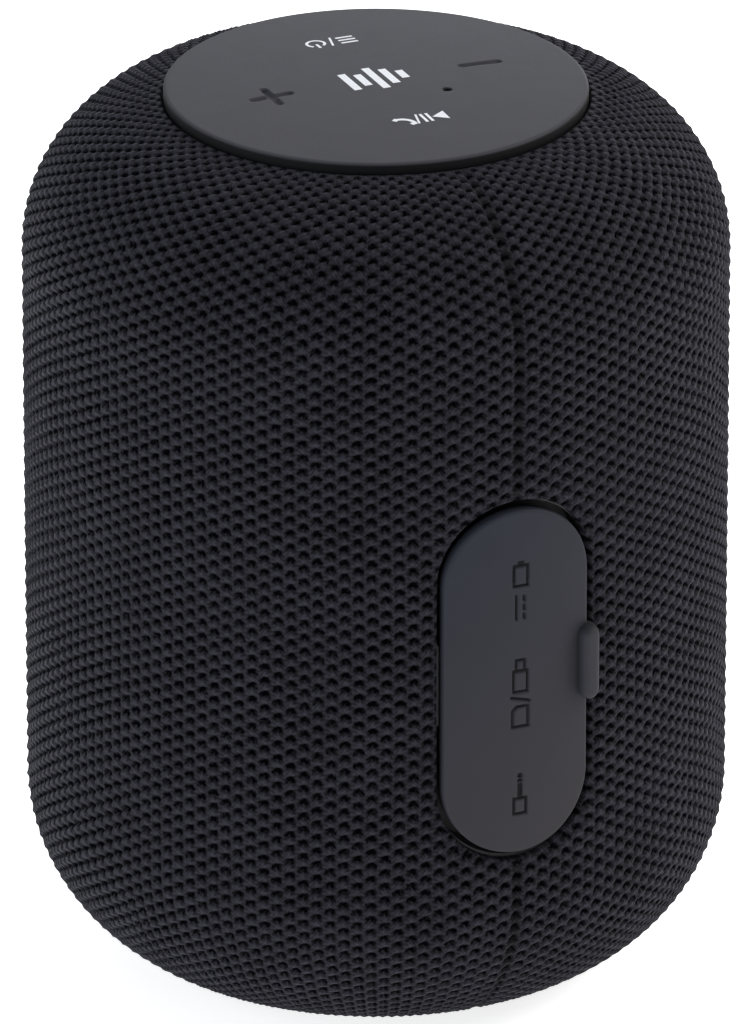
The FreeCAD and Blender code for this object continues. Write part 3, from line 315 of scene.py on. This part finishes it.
def knit_material():
    """Black-grey knit: dark in the holes, lighter on the tufts, with the yarn's strands as fine ribs."""
    material, tree, shader = new_material("knit_fabric")
    node = tree.nodes.new

    def maths(operation, a, b=None, c=None):
        """The output of a new Math node, fed with numbers or other outputs."""
        made = node("ShaderNodeMath")
        made.operation = operation
        for socket, value in zip(made.inputs, (a, b, c)):
            if value is None:
                continue
            if isinstance(value, (int, float)):
                socket.default_value = value
            else:
                link(tree, value, socket)
        return made.outputs[0]

    uv = node("ShaderNodeUVMap")
    uv.uv_map = "knit"
    parts = node("ShaderNodeSeparateXYZ")
    link(tree, uv.outputs["UV"], parts.inputs[0])
    u, v = parts.outputs[0], parts.outputs[1]
    slump = maths("MULTIPLY", maths("PINGPONG", u, 0.5), CHEVRON)
    course = maths("ADD", v, slump)
    chequer = maths("MULTIPLY", maths("COSINE", maths("MULTIPLY", u, math.pi)),
                    maths("COSINE", maths("MULTIPLY", course, 2 * math.pi)))
    # yarn strands: fine ribs that lean the other way on neighbouring tufts
    lean = maths("MULTIPLY", maths("SINE", maths("MULTIPLY", u, math.pi)), 1.1)
    strands = maths("ADD", maths("MULTIPLY", course, 3), lean)
    strands = maths("SINE", maths("MULTIPLY", strands, 2 * math.pi))
    plies = maths("COSINE", maths("MULTIPLY", u, 4 * math.pi))
    strands = maths("ADD", maths("MULTIPLY", strands, 0.6), maths("MULTIPLY", plies, 0.4))
    grain = node("ShaderNodeTexNoise")
    grain.inputs["Scale"].default_value = 4
    grain.inputs["Detail"].default_value = 4
    link(tree, uv.outputs["UV"], grain.inputs["Vector"])
    blotch = node("ShaderNodeTexNoise")
    blotch.inputs["Scale"].default_value = 0.22
    blotch.inputs["Detail"].default_value = 2
    link(tree, uv.outputs["UV"], blotch.inputs["Vector"])
    hole = node("ShaderNodeMapRange")
    hole.interpolation_type = "SMOOTHSTEP"
    hole.inputs["From Min"].default_value = -0.05
    hole.inputs["From Max"].default_value = 0.85
    link(tree, maths("ADD", chequer, maths("MULTIPLY", maths("SUBTRACT", grain.outputs[0], 0.5), 3.2)),
         hole.inputs["Value"])
    yarn = node("ShaderNodeValToRGB")
    yarn.color_ramp.elements[0].position = 0.30
    yarn.color_ramp.elements[0].color = (0.0028, 0.0025, 0.0042, 1)
    yarn.color_ramp.elements[1].position = 0.95
    yarn.color_ramp.elements[1].color = (0.031, 0.029, 0.041, 1)
    tone = maths("ADD", maths("MULTIPLY", chequer, -0.22), maths("MULTIPLY", strands, 0.17))
    tone = maths("ADD", tone, maths("MULTIPLY", grain.outputs[0], 1.05))
    tone = maths("ADD", tone, maths("MULTIPLY", blotch.outputs[0], 0.25))
    beside_seam = node("ShaderNodeMapRange")
    beside_seam.interpolation_type = "SMOOTHSTEP"
    beside_seam.inputs["From Max"].default_value = 0.55
    beside_seam.inputs["To Min"].default_value = 0.52
    beside_seam.inputs["To Max"].default_value = 0.18
    link(tree, maths("PINGPONG", u, WALES / 2), beside_seam.inputs["Value"])
    link(tree, maths("SUBTRACT", tone, beside_seam.outputs["Result"]), yarn.inputs["Fac"])
    colour = node("ShaderNodeMix")
    colour.data_type = "RGBA"
    colour.inputs["B"].default_value = (0.0010, 0.0009, 0.0014, 1)
    link(tree, hole.outputs["Result"], colour.inputs["Factor"])
    link(tree, yarn.outputs["Color"], colour.inputs["A"])
    link(tree, colour.outputs["Result"], shader.inputs["Base Color"])
    bump = node("ShaderNodeBump")
    bump.inputs["Strength"].default_value = 0.9
    bump.inputs["Distance"].default_value = 0.35 * MM
    relief = maths("ADD", maths("MULTIPLY", chequer, -0.5), maths("MULTIPLY", strands, 0.09))
    link(tree, maths("ADD", relief, maths("MULTIPLY", grain.outputs[0], 0.25)), bump.inputs["Height"])
    link(tree, bump.outputs["Normal"], shader.inputs["Normal"])
    shader.inputs["Roughness"].default_value = 0.78
    shader.inputs["Sheen Weight"].default_value = 0.03
    shader.inputs["Sheen Roughness"].default_value = 0.5
    shader.inputs["Sheen Tint"].default_value = (0.75, 0.78, 1.0, 1)
    gloss = maths("MULTIPLY_ADD", hole.outputs["Result"], -0.16, 0.16)
    link(tree, gloss, shader.inputs["Specular IOR Level"])
    return material


sleeve = knitted_sleeve()
sleeve.data.materials.append(knit_material())
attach(sleeve, "casing")
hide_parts("fabric_sleeve")


# --- Keypad -------------------------------------------------------------------------------------------
# One soft silicone disc let into the top, moulded as a shallow dome with a rounded rim. Plus and minus
# are sunk into it, a pinhole leads to the microphone, and it is made as four quarters, one round each key.

PAD_RADIUS = pad_high.x
PAD_CROWN = 0.8 * MM
PAD_RIM = pad_high.z - PAD_CROWN
RIM_ROUND = 0.5 * MM
PAD_THICKNESS = 2.2 * MM
KEY_RING = 13.1 * MM
KEYS = {"volume_up": 180, "power_mode": 90, "volume_down": 0, "play_call": -90}
BAR_LENGTH, BAR_WIDTH, BAR_DEPTH = 5.4 * MM, 0.85 * MM, 0.45 * MM
PINHOLE = Vector((6.22 * MM, -6.22 * MM))
PINHOLE_RADIUS, PINHOLE_DEPTH = 0.5 * MM, 1.2 * MM
FINE_FROM, FINE_TO = 8 * MM, 18 * MM


def dome_height(x, y):
    """The dome's height: the rim's, plus the crown times one less the square of the share of radius."""
    share = np.hypot(x, y) / (PAD_RADIUS - RIM_ROUND)
    return PAD_RIM + PAD_CROWN * (1 - np.minimum(share, 1) ** 2)


def bar_sink(x, y, length, width):
    """How far a sunk bar goes down: its full depth inside a round-ended outline, with soft edges."""
    beyond = np.maximum(np.abs(x) - (length - width) / 2, 0)
    inside = width / 2 - np.hypot(beyond, y)
    return BAR_DEPTH * smooth(inside / (0.18 * MM) + 0.5)


def key_place(name):
    """Where a key's middle is: the key ring's radius times the cosine and sine of the key's angle."""
    angle = math.radians(KEYS[name])
    return KEY_RING * math.cos(angle), KEY_RING * math.sin(angle)


def keypad_quarter(name):
    """A quarter of the dome as a fan of radii and angles, ended by the rounded rim and its wall."""
    fan = np.radians(KEYS[name] + np.linspace(-45, 45, 151))
    flat = PAD_RADIUS - RIM_ROUND
    radii = np.concatenate([np.linspace(0, FINE_FROM, 50)[:-1],
                            np.linspace(FINE_FROM, FINE_TO, 86)[:-1], np.linspace(FINE_TO, flat, 22)])
    bend = np.radians(np.linspace(90, 0, 8))[1:]
    radii = np.concatenate([radii, flat + RIM_ROUND * np.cos(bend), [PAD_RADIUS, PAD_RADIUS]])
    drop = np.concatenate([np.zeros(len(radii) - len(bend) - 2), RIM_ROUND * (1 - np.sin(bend)),
                           [RIM_ROUND + 0.6 * MM, PAD_THICKNESS]])
    x = radii[:, None] * np.cos(fan)
    y = radii[:, None] * np.sin(fan)
    inside = PINHOLE_RADIUS - np.hypot(x - PINHOLE.x, y - PINHOLE.y)
    sink = smooth(inside / (0.16 * MM) + 0.5) * PINHOLE_DEPTH
    for key in ("volume_up", "volume_down"):
        cx, cy = key_place(key)
        bars = bar_sink(x - cx, y - cy, BAR_LENGTH, BAR_WIDTH)
        if key == "volume_up":
            bars = np.maximum(bars, bar_sink(y - cy, x - cx, BAR_LENGTH, BAR_WIDTH))
        sink = sink + bars
    z = dome_height(x, y) - drop[:, None] - sink
    return mesh_object(f"keypad_{name}", np.stack([x, y, z], axis=-1).reshape(-1, 3),
                       grid_faces(len(radii), len(fan))[:, ::-1])


def welded(piece):
    """The same piece with its coincident points merged."""
    work = bmesh.new()
    work.from_mesh(piece.data)
    bmesh.ops.remove_doubles(work, verts=work.verts, dist=1e-7)
    work.to_mesh(piece.data)
    work.free()
    return piece


def mixed(tree, factor, low, high):
    """A colour that goes from low to high with factor; each may be a colour or an output."""
    mix = tree.nodes.new("ShaderNodeMix")
    mix.data_type = "RGBA"
    link(tree, factor, mix.inputs["Factor"])
    for socket, value in (("A", low), ("B", high)):
        if isinstance(value, tuple):
            mix.inputs[socket].default_value = value
        else:
            link(tree, value, mix.inputs[socket])
    return mix.outputs["Result"]


def silicone(name, colour, dark_below=None, holes=()):
    """Matte silicone: an even colour with a faint mottle and a fine eggshell bump. It may darken below a
    height, and it paints shade near-black into small round holes."""
    material, tree, shader = new_material(name)
    node = tree.nodes.new
    place = node("ShaderNodeTexCoord").outputs["Object"]
    mottle = node("ShaderNodeTexNoise")
    mottle.inputs["Scale"].default_value = 260
    mottle.inputs["Detail"].default_value = 5
    link(tree, place, mottle.inputs["Vector"])
    ramp = node("ShaderNodeValToRGB")
    ramp.color_ramp.elements[0].color = (*[c * 0.90 for c in colour], 1)
    ramp.color_ramp.elements[1].color = (*[c * 1.10 for c in colour], 1)
    link(tree, mottle.outputs["Fac"], ramp.inputs["Fac"])
    result = ramp.outputs["Color"]
    if dark_below is not None:
        parts = node("ShaderNodeSeparateXYZ")
        link(tree, place, parts.inputs[0])
        level = node("ShaderNodeMapRange")
        level.inputs["From Min"].default_value = dark_below
        level.inputs["From Max"].default_value = dark_below + 0.2 * MM
        link(tree, parts.outputs[2], level.inputs["Value"])
        result = mixed(tree, level.outputs["Result"], (0.0035, 0.0035, 0.0045, 1), result)
    # each small round hole is painted near-black round its middle: painted shade inside the hole
    for centre, radius in holes:
        away = node("ShaderNodeVectorMath")
        away.operation = "DISTANCE"
        away.inputs[1].default_value = centre
        link(tree, place, away.inputs[0])
        hole_shade = node("ShaderNodeMapRange")
        hole_shade.inputs["From Min"].default_value = radius * 0.85
        hole_shade.inputs["From Max"].default_value = radius * 1.1
        link(tree, away.outputs["Value"], hole_shade.inputs["Value"])
        result = mixed(tree, hole_shade.outputs["Result"], (0.001, 0.001, 0.0012, 1), result)
    link(tree, result, shader.inputs["Base Color"])
    grain = node("ShaderNodeTexNoise")
    grain.inputs["Scale"].default_value = 5200
    grain.inputs["Detail"].default_value = 2
    link(tree, place, grain.inputs["Vector"])
    bump = node("ShaderNodeBump")
    bump.inputs["Strength"].default_value = 0.25
    bump.inputs["Distance"].default_value = 0.04 * MM
    link(tree, grain.outputs["Fac"], bump.inputs["Height"])
    link(tree, bump.outputs["Normal"], shader.inputs["Normal"])
    shine = node("ShaderNodeMapRange")
    shine.inputs["To Min"].default_value = 0.52
    shine.inputs["To Max"].default_value = 0.66
    link(tree, grain.outputs["Fac"], shine.inputs["Value"])
    link(tree, shine.outputs["Result"], shader.inputs["Roughness"])
    shader.inputs["Specular IOR Level"].default_value = 0.14
    return material


# the pinhole's painted shade is centred halfway down the hole
PINHOLE_HEIGHT = float(dome_height(PINHOLE.x, PINHOLE.y)) - PINHOLE_DEPTH / 2
pad_silicone = silicone("keypad_silicone", (0.041, 0.040, 0.047), PAD_RIM - 0.35 * MM,
                        [((PINHOLE.x, PINHOLE.y, PINHOLE_HEIGHT), 0.75 * MM)])
for name in KEYS:
    quarter = welded(keypad_quarter(name))
    quarter.data.materials.append(pad_silicone)
    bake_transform(quarter)
    at = np.zeros(len(quarter.data.vertices) * 3)
    quarter.data.vertices.foreach_get("co", at)
    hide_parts(f"{name}_key", *(["keypad_skin"] if name == "volume_up" else []))


# --- Keypad prints ------------------------------------------------------------------------------------
# White pad-printed marks, a few hundredths of a millimetre of ink on the silicone: play and call, power
# and mode, and plain sound bars in the middle. They read upright from the far side.

INK_LIFT = 0.03 * MM


def stroke(path, width):
    """A flat strip along a path: each point moved half the width to either side, along the normal."""
    path = np.array(path, float)
    steps = np.diff(path, axis=0)
    steps /= np.linalg.norm(steps, axis=1, keepdims=True)
    along = np.concatenate([steps[:1], steps]) + np.concatenate([steps, steps[-1:]])
    along /= np.linalg.norm(along, axis=1, keepdims=True)
    side = np.stack([-along[:, 1], along[:, 0]], axis=1) * width / 2
    return np.stack([path - side, path + side]), grid_faces(2, len(path))


def printed(name, body, centre, shapes):
    """One ink mark: flat shapes in millimetres, turned to the reader and laid on the dome at centre."""
    points, faces, base = [], [], 0
    for flat, quads in shapes:
        flat = flat.reshape(-1, 2) * MM
        x, y = centre[0] - flat[:, 0], centre[1] - flat[:, 1]
        points.append(np.stack([x, y, dome_height(x, y) + INK_LIFT], axis=1))
        faces += [[base + k for k in face] for face in quads]
        base += len(flat)
    made = mesh_object(name, np.concatenate(points), faces)
    made.data.materials.append(ink)
    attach(made, body)
    return made


def bar(low, high):
    """A filled upright rectangle between two corners."""
    corners = np.array([[low[0], low[1]], [high[0], low[1]], [high[0], high[1]], [low[0], high[1]]], float)
    return corners, [[0, 1, 2, 3]]


ink, ink_tree, ink_shader = new_material("white_ink")
ink_noise = ink_tree.nodes.new("ShaderNodeTexNoise")
ink_noise.inputs["Scale"].default_value = 2600
link(ink_tree, ink_tree.nodes.new("ShaderNodeTexCoord").outputs["Object"], ink_noise.inputs["Vector"])
ink_ramp = ink_tree.nodes.new("ShaderNodeValToRGB")
ink_ramp.color_ramp.elements[0].color = (0.62, 0.64, 0.68, 1)
ink_ramp.color_ramp.elements[1].color = (0.84, 0.85, 0.87, 1)
link(ink_tree, ink_noise.outputs["Fac"], ink_ramp.inputs["Fac"])
link(ink_tree, ink_ramp.outputs["Color"], ink_shader.inputs["Base Color"])
ink_shader.inputs["Roughness"].default_value = 0.6

triangle = (np.array([[-3.1, -1.15], [-1.35, 0], [-3.1, 1.15]]), [[0, 1, 2]])
handset = arc_points((2.75, 0.95), 1.55, 178, 282, 20)
printed("play_call_print", "play_call", key_place("play_call"), [
    triangle, bar((-1.15, -1.15), (-0.80, 1.15)), bar((-0.45, -1.15), (-0.10, 1.15)),
    stroke([(0.25, -1.25), (0.80, 1.25)], 0.26), stroke(handset, 0.50),
    stroke([(1.05, 0.90), (1.75, 1.12)], 0.62), stroke([(2.75, -0.78), (3.28, -0.38)], 0.62),
])
printed("power_mode_print", "power_mode", key_place("power_mode"), [
    bar((-3.0, 0.75), (-0.9, 1.15)), bar((-3.0, -0.15), (-0.9, 0.25)), bar((-3.0, -1.05), (-0.9, -0.65)),
    stroke([(-0.35, -1.35), (0.30, 1.35)], 0.26),
    stroke(arc_points((1.90, -0.10), 1.05, 125, 415, 40), 0.34), bar((1.74, 0.10), (2.06, 1.40)),
])
BAR_HEIGHTS = (2.4, 4.6, 6.6, 3.6, 5.2)
BAR_PITCH, BAR_HALF = 1.65, 0.48
printed("sound_bars_print", "casing", (0.0, 0.0), [
    bar(((k - 2) * BAR_PITCH - BAR_HALF, -tall / 2), ((k - 2) * BAR_PITCH + BAR_HALF, tall / 2))
    for k, tall in enumerate(BAR_HEIGHTS)
])


# --- Port cover ---------------------------------------------------------------------------------------
# A soft silicone flap curved like the casing, with a rounded rim and a half-round finger ridge on its
# free edge. Three small signs are sunk into its face: a supply, a card and a stick, and an audio plug.

cover_low, cover_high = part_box("port_cover")
COVER_HALF_WIDTH = 9 * MM
COVER_HALF_LENGTH = (cover_high.z - cover_low.z) / 2
COVER_MIDDLE = (cover_high.z + cover_low.z) / 2
COVER_FACE = BODY_RADIUS + 0.2 * MM
COVER_THICKNESS = 1.8 * MM
COVER_ROUND = 0.4 * MM
SIGN_DEPTH = 0.24 * MM
SIGN_HEIGHTS = {"supply": 60.4, "card_and_stick": 47.6, "audio": 34.9}
STRAIGHT_COUNT, TURN_COUNT, FACE_COUNT = 170, 119, 56
RIDGE_HALF_LENGTH, RIDGE_HALF_WIDTH = 4.6 * MM, 1.25 * MM
RIDGE_MIDDLE = 49.9 * MM
RIDGE_TOP = 42.75 * MM
RIDGE_RISE, RIDGE_ROOT = 1.15 * MM, 2.3 * MM
# the direction along which light is painted across the port cover
PAINTED_LIGHT_SLOPE = (0.55, 0, -0.83)


def to_frame(a, b, centre, half_a, half_b):
    """Signed distance to a rectangle: the larger of the distances past its two half sizes."""
    return np.maximum(np.abs(a - centre[0]) - half_a, np.abs(b - centre[1]) - half_b)


def to_line(a, b, start, end):
    """Distance to the piece of line from start to end."""
    run = np.array(end, float) - np.array(start, float)
    share = np.clip(((a - start[0]) * run[0] + (b - start[1]) * run[1]) / (run @ run), 0, 1)
    return np.hypot(a - start[0] - share * run[0], b - start[1] - share * run[1])


def signs_distance(x, z):
    """Distance in millimetres to the nearest stroke of the three signs, which read upwards."""
    b = -(x / MM - 0.15)
    half = 0.17
    found = np.full(np.shape(x), 9.0)

    def add(shape):
        """Keeps the nearer of what was found and this shape."""
        np.minimum(found, shape, out=found)

    a = z / MM - SIGN_HEIGHTS["supply"]
    add(to_line(a, b, (-3.4, 0.55), (-0.6, 0.55)) - half)
    for k in range(3):
        add(to_line(a, b, (-3.4 + 1.1 * k, -0.45), (-2.9 + 1.1 * k, -0.45)) - half)
    add(np.abs(to_frame(a, b, (1.9, 0), 1.25, 0.85)) - half)
    add(to_frame(a, b, (3.5, 0), 0.22, 0.40))
    a = z / MM - SIGN_HEIGHTS["card_and_stick"]
    card = np.maximum(to_frame(a, b, (-2.9, 0), 1.25, 0.95), (a + b + 1.2) * math.sqrt(0.5))
    add(np.abs(card) - half)
    add(to_line(a, b, (-1.05, -1.1), (-0.45, 1.1)) - half)
    add(np.abs(to_frame(a, b, (1.5, 0), 1.3, 0.85)) - half)
    add(np.abs(to_frame(a, b, (3.5, 0), 0.65, 0.5)) - half)
    a = z / MM - SIGN_HEIGHTS["audio"]
    add(np.abs(to_frame(a, b, (-1.45, 0), 0.95, 0.75)) - half)
    add(to_frame(a, b, (0.45, 0), 0.95, 0.30))
    add(to_frame(a, b, (1.75, 0), 0.16, 0.30))
    add(np.hypot(a - 2.35, b) - 0.32)
    return found


def slot_rings(half_length, half_width, straight_count, turn_count):
    """What a slot's rings share: each point's place on the middle line, and the direction (x, z) in which
    it lies from there, which is sideways along the straights and turns by the angle at the ends."""
    straight = half_length - half_width
    line = np.linspace(-straight, straight, straight_count)
    turn = np.linspace(0, np.pi, turn_count + 2)[1:-1]
    end = np.full(turn_count, straight)
    flat, none = np.ones(straight_count), np.zeros(straight_count)
    spine = np.concatenate([line, end, line[::-1], -end])
    out_x = np.concatenate([flat, np.cos(turn), -flat, -np.cos(turn)])
    out_z = np.concatenate([none, np.sin(turn), none, -np.sin(turn)])
    return spine, out_x, out_z


def cover_shape():
    """The flap as rings from its middle line out to its outline, then round the rim, down the wall and
    over the back. Each point is on a cylinder, less the rim's rounding and the signs' depth."""
    spine, out_x, out_z = slot_rings(COVER_HALF_LENGTH, COVER_HALF_WIDTH, STRAIGHT_COUNT, TURN_COUNT)
    bend = np.radians(np.linspace(0, 90, 7))[1:]
    flat = COVER_HALF_WIDTH - COVER_ROUND
    wall = [COVER_HALF_WIDTH - 0.02 * MM, COVER_HALF_WIDTH - 0.10 * MM, COVER_HALF_WIDTH / 2, 0]
    reach = np.concatenate([np.linspace(0, flat, FACE_COUNT), flat + COVER_ROUND * np.sin(bend), wall])
    drop = np.concatenate([np.zeros(FACE_COUNT), COVER_ROUND * (1 - np.cos(bend)),
                           COVER_THICKNESS * np.array([0.7, 1, 1, 1])])
    x = reach[:, None] * out_x
    z = COVER_MIDDLE + spine + reach[:, None] * out_z
    away = signs_distance(x, z)
    front = (np.arange(len(reach)) < FACE_COUNT)[:, None]
    sunk = smooth(-away / 0.12 + 0.5) * front
    radius = COVER_FACE - drop[:, None] - sunk * SIGN_DEPTH
    y = -np.sqrt(radius ** 2 - x ** 2)
    made = mesh_object("port_cover_flap", np.stack([x, y, z], axis=-1).reshape(-1, 3),
                       grid_faces(len(reach), len(spine), closed=True)[:, ::-1])
    # the sunk share is kept so that the signs can be painted near-black: painted shade in their recesses
    layer = made.data.attributes.new("sign", "FLOAT", "POINT")
    layer.data.foreach_set("value", np.broadcast_to(sunk, x.shape).astype(np.float32).ravel())
    return welded(made)


def finger_ridge():
    """The ridge as rings from its middle line outwards. It falls from its top by its rise times one less
    the 0.6th power of one less the fourth power of the share of its width, and so has a full, round top."""
    spine, out_x, out_z = slot_rings(RIDGE_HALF_LENGTH, RIDGE_HALF_WIDTH, 24, 23)
    across = np.sin(np.linspace(0, np.pi / 2, 16))
    share = np.concatenate([across, [1.0, 0.97, 0.0]])
    low = np.concatenate([RIDGE_RISE * (1 - (1 - across ** 4) ** 0.6),
                          [RIDGE_ROOT - 0.4 * MM, RIDGE_ROOT, RIDGE_ROOT]])
    x = COVER_HALF_WIDTH + share[:, None] * RIDGE_HALF_WIDTH * out_x
    z = RIDGE_MIDDLE + spine + share[:, None] * RIDGE_HALF_WIDTH * out_z
    radius = RIDGE_TOP - low[:, None]
    y = -np.sqrt(radius ** 2 - x ** 2)
    return welded(mesh_object("finger_ridge", np.stack([x, y, z], axis=-1).reshape(-1, 3),
                              grid_faces(len(share), len(spine), closed=True)[:, ::-1]))


cover_silicone = silicone("cover_silicone", (0.022, 0.024, 0.033))
cover_tree = cover_silicone.node_tree
cover_shader = cover_tree.nodes["Principled BSDF"]
# the sunk signs are painted near-black: painted shade in their recesses
painted_sign_shade = cover_tree.nodes.new("ShaderNodeAttribute")
painted_sign_shade.attribute_name = "sign"
plain = cover_shader.inputs["Base Color"].links[0].from_socket
# the cover is painted a little lighter and warmer towards its lower right: painted light, where the lamps
# fall more on it
cover_place = cover_tree.nodes.new("ShaderNodeTexCoord").outputs["Object"]
painted_light_side = cover_tree.nodes.new("ShaderNodeVectorMath")
painted_light_side.operation = "DOT_PRODUCT"
painted_light_side.inputs[1].default_value = PAINTED_LIGHT_SLOPE
link(cover_tree, cover_place, painted_light_side.inputs[0])
painted_light_share = cover_tree.nodes.new("ShaderNodeMapRange")
painted_light_share.inputs["From Min"].default_value = PAINTED_LIGHT_SLOPE[2] * (COVER_MIDDLE + COVER_HALF_LENGTH)
painted_light_share.inputs["From Max"].default_value = PAINTED_LIGHT_SLOPE[2] * (COVER_MIDDLE - COVER_HALF_LENGTH)
link(cover_tree, painted_light_side.outputs["Value"], painted_light_share.inputs["Value"])
# the lighter, warmer colour towards the lower right is painted light
plain = mixed(cover_tree, painted_light_share.outputs["Result"], plain, (0.033, 0.031, 0.036, 1))
link(cover_tree, mixed(cover_tree, painted_sign_shade.outputs["Fac"], plain, (0.003, 0.003, 0.005, 1)),
     cover_shader.inputs["Base Color"])
flap = cover_shape()
flap.data.materials.append(cover_silicone)
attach(flap, "cover")
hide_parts("port_cover")
ridge = finger_ridge()
ridge.data.materials.append(silicone("ridge_silicone", (0.030, 0.030, 0.036)))
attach(ridge, "cover")


# --- Inner and under parts ----------------------------------------------------------------------------
# Moulded casing, foot, screws, boards, sockets, driver and battery keep their exact shapes. Each kind of
# material has its own colour, metal share, roughness, grain scale and grain depth.

PARTS = {
    "casing": ((0.030, 0.030, 0.034), 0.0, 0.50, 2600, 0.12),
    "switch_plastic": ((0.012, 0.012, 0.013), 0.0, 0.38, 1800, 0.05),
    "connector_plastic": ((0.62, 0.60, 0.52), 0.0, 0.42, 1800, 0.05),
    "board_laminate": ((0.012, 0.085, 0.035), 0.0, 0.32, 900, 0.10),
    "socket_metal": ((0.66, 0.66, 0.68), 1.0, 0.24, 1500, 0.04),
    "screw_steel": ((0.34, 0.34, 0.36), 1.0, 0.34, 3000, 0.10),
    "driver_steel": ((0.045, 0.045, 0.048), 0.7, 0.42, 2200, 0.10),
    "magnet": ((0.055, 0.055, 0.060), 0.4, 0.55, 1400, 0.18),
    "cone_pulp": ((0.026, 0.026, 0.028), 0.0, 0.85, 3600, 0.35),
    "coil_copper": ((0.72, 0.33, 0.17), 1.0, 0.30, 2400, 0.12),
    "cell_wrap": ((0.03, 0.16, 0.42), 0.0, 0.22, 500, 0.04),
    "foot_rubber": ((0.018, 0.018, 0.020), 0.0, 0.80, 2400, 0.25),
    "cover_silicone": ((0.043, 0.046, 0.057), 0.0, 0.60, 2400, 0.15),
}


def part_material(name, colour, metallic, roughness, grain_scale, grain_depth):
    """A colour mottled by a broad noise, with a fine noise for its grain and its roughness."""
    material, tree, shader = new_material(name)
    place = tree.nodes.new("ShaderNodeTexCoord").outputs["Object"]
    mottle = tree.nodes.new("ShaderNodeTexNoise")
    mottle.inputs["Scale"].default_value = grain_scale / 12
    mottle.inputs["Detail"].default_value = 4
    grain = tree.nodes.new("ShaderNodeTexNoise")
    grain.inputs["Scale"].default_value = grain_scale
    for noise in (mottle, grain):
        link(tree, place, noise.inputs["Vector"])
    ramp = tree.nodes.new("ShaderNodeValToRGB")
    ramp.color_ramp.elements[0].color = (*[c * 0.82 for c in colour], 1)
    ramp.color_ramp.elements[1].color = (*[c * 1.15 for c in colour], 1)
    link(tree, mottle.outputs["Fac"], ramp.inputs["Fac"])
    link(tree, ramp.outputs["Color"], shader.inputs["Base Color"])
    shine = tree.nodes.new("ShaderNodeMapRange")
    shine.inputs["To Min"].default_value = roughness * 0.85
    shine.inputs["To Max"].default_value = min(1.0, roughness * 1.15)
    link(tree, grain.outputs["Fac"], shine.inputs["Value"])
    link(tree, shine.outputs["Result"], shader.inputs["Roughness"])
    shader.inputs["Metallic"].default_value = metallic
    bump = tree.nodes.new("ShaderNodeBump")
    bump.inputs["Strength"].default_value = grain_depth
    bump.inputs["Distance"].default_value = 0.05 * MM
    link(tree, grain.outputs["Fac"], bump.inputs["Height"])
    link(tree, bump.outputs["Normal"], shader.inputs["Normal"])
    return material


part_materials = {kind: part_material(kind, *look) for kind, look in PARTS.items()}
for subpart in frame["record"]["subparts"]:
    node = frame["nodes"][subpart["node"]]
    if subpart["material_slot"] in part_materials:
        node.data.materials.clear()
        node.data.materials.append(part_materials[subpart["material_slot"]])
